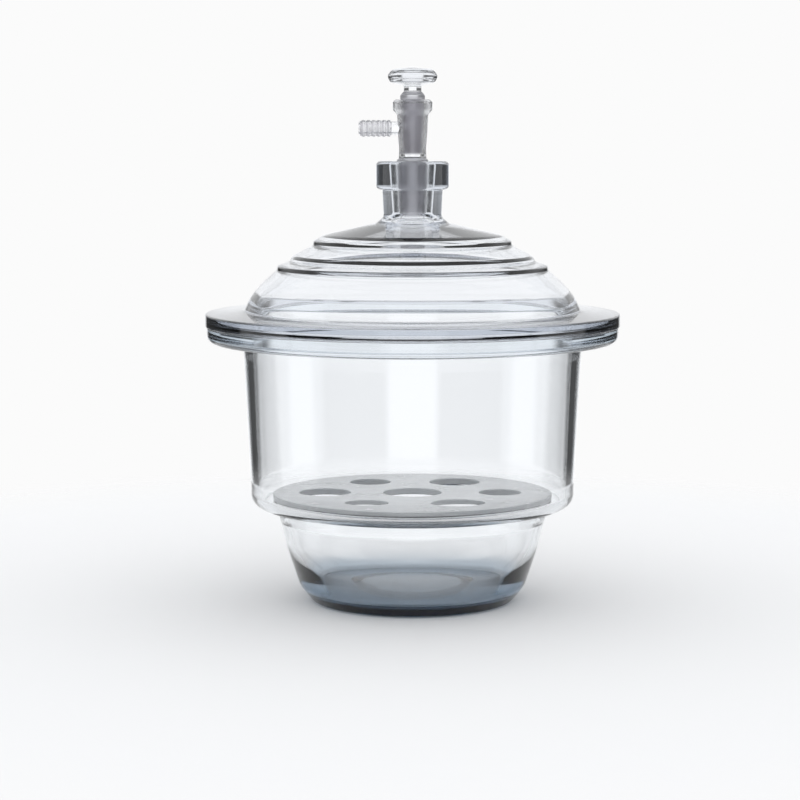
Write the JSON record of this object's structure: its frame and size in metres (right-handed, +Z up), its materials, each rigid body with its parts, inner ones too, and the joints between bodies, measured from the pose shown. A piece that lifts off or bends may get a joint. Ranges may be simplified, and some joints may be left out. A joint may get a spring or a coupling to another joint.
{
  "type": "glass vacuum desiccator",
  "caption": "Stepped glass drying vessel with a flanged tiered lid, a perforated porcelain plate inside, and a ground stopcock with a ribbed hose arm.",
  "frame": {"origin": "centre of the foot ring, on the surface the vessel stands on", "axes": "+Z up along the axis of the vessel, -X along the hose arm, the picture's viewer is towards -Y"},
  "size_m": [0.3236, 0.3236, 0.417],
  "materials": {
    "vessel_glass": "clear pressed glass, ground rim",
    "lid_glass": "clear pressed glass, ground flange and neck",
    "porcelain": "glazed top, plain underside",
    "stopcock_glass": "clear blown glass with ground cone and barrel",
    "key_glass": "clear solid glass with a ground plug"
  },
  "bodies": {
    "vessel": {"base_vessel": "vessel_glass"},
    "lid": {"lid": "lid_glass"},
    "plate": {"perforated_plate": "porcelain"},
    "stopcock": {"stopcock_body": "stopcock_glass"},
    "key": {"stopcock_key": "key_glass"}
  },
  "joints": [
    {"name": "lid_lift", "type": "slide", "parent": "vessel", "child": "lid", "axis": [0, 0, 1], "range_m": [0, 0.2]},
    {"name": "plate_lift", "type": "slide", "parent": "vessel", "child": "plate", "axis": [0, 0, 1], "range_m": [0, 0.145]},
    {"name": "stopcock_turn", "type": "hinge", "parent": "lid", "child": "stopcock", "pos_m": [0, 0, 0.3442], "axis": [0, 0, 1], "continuous": true},
    {"name": "key_turn", "type": "hinge", "parent": "stopcock", "child": "key", "pos_m": [0, 0, 0.3914], "axis": [0, 0, 1], "continuous": true}
  ]
}
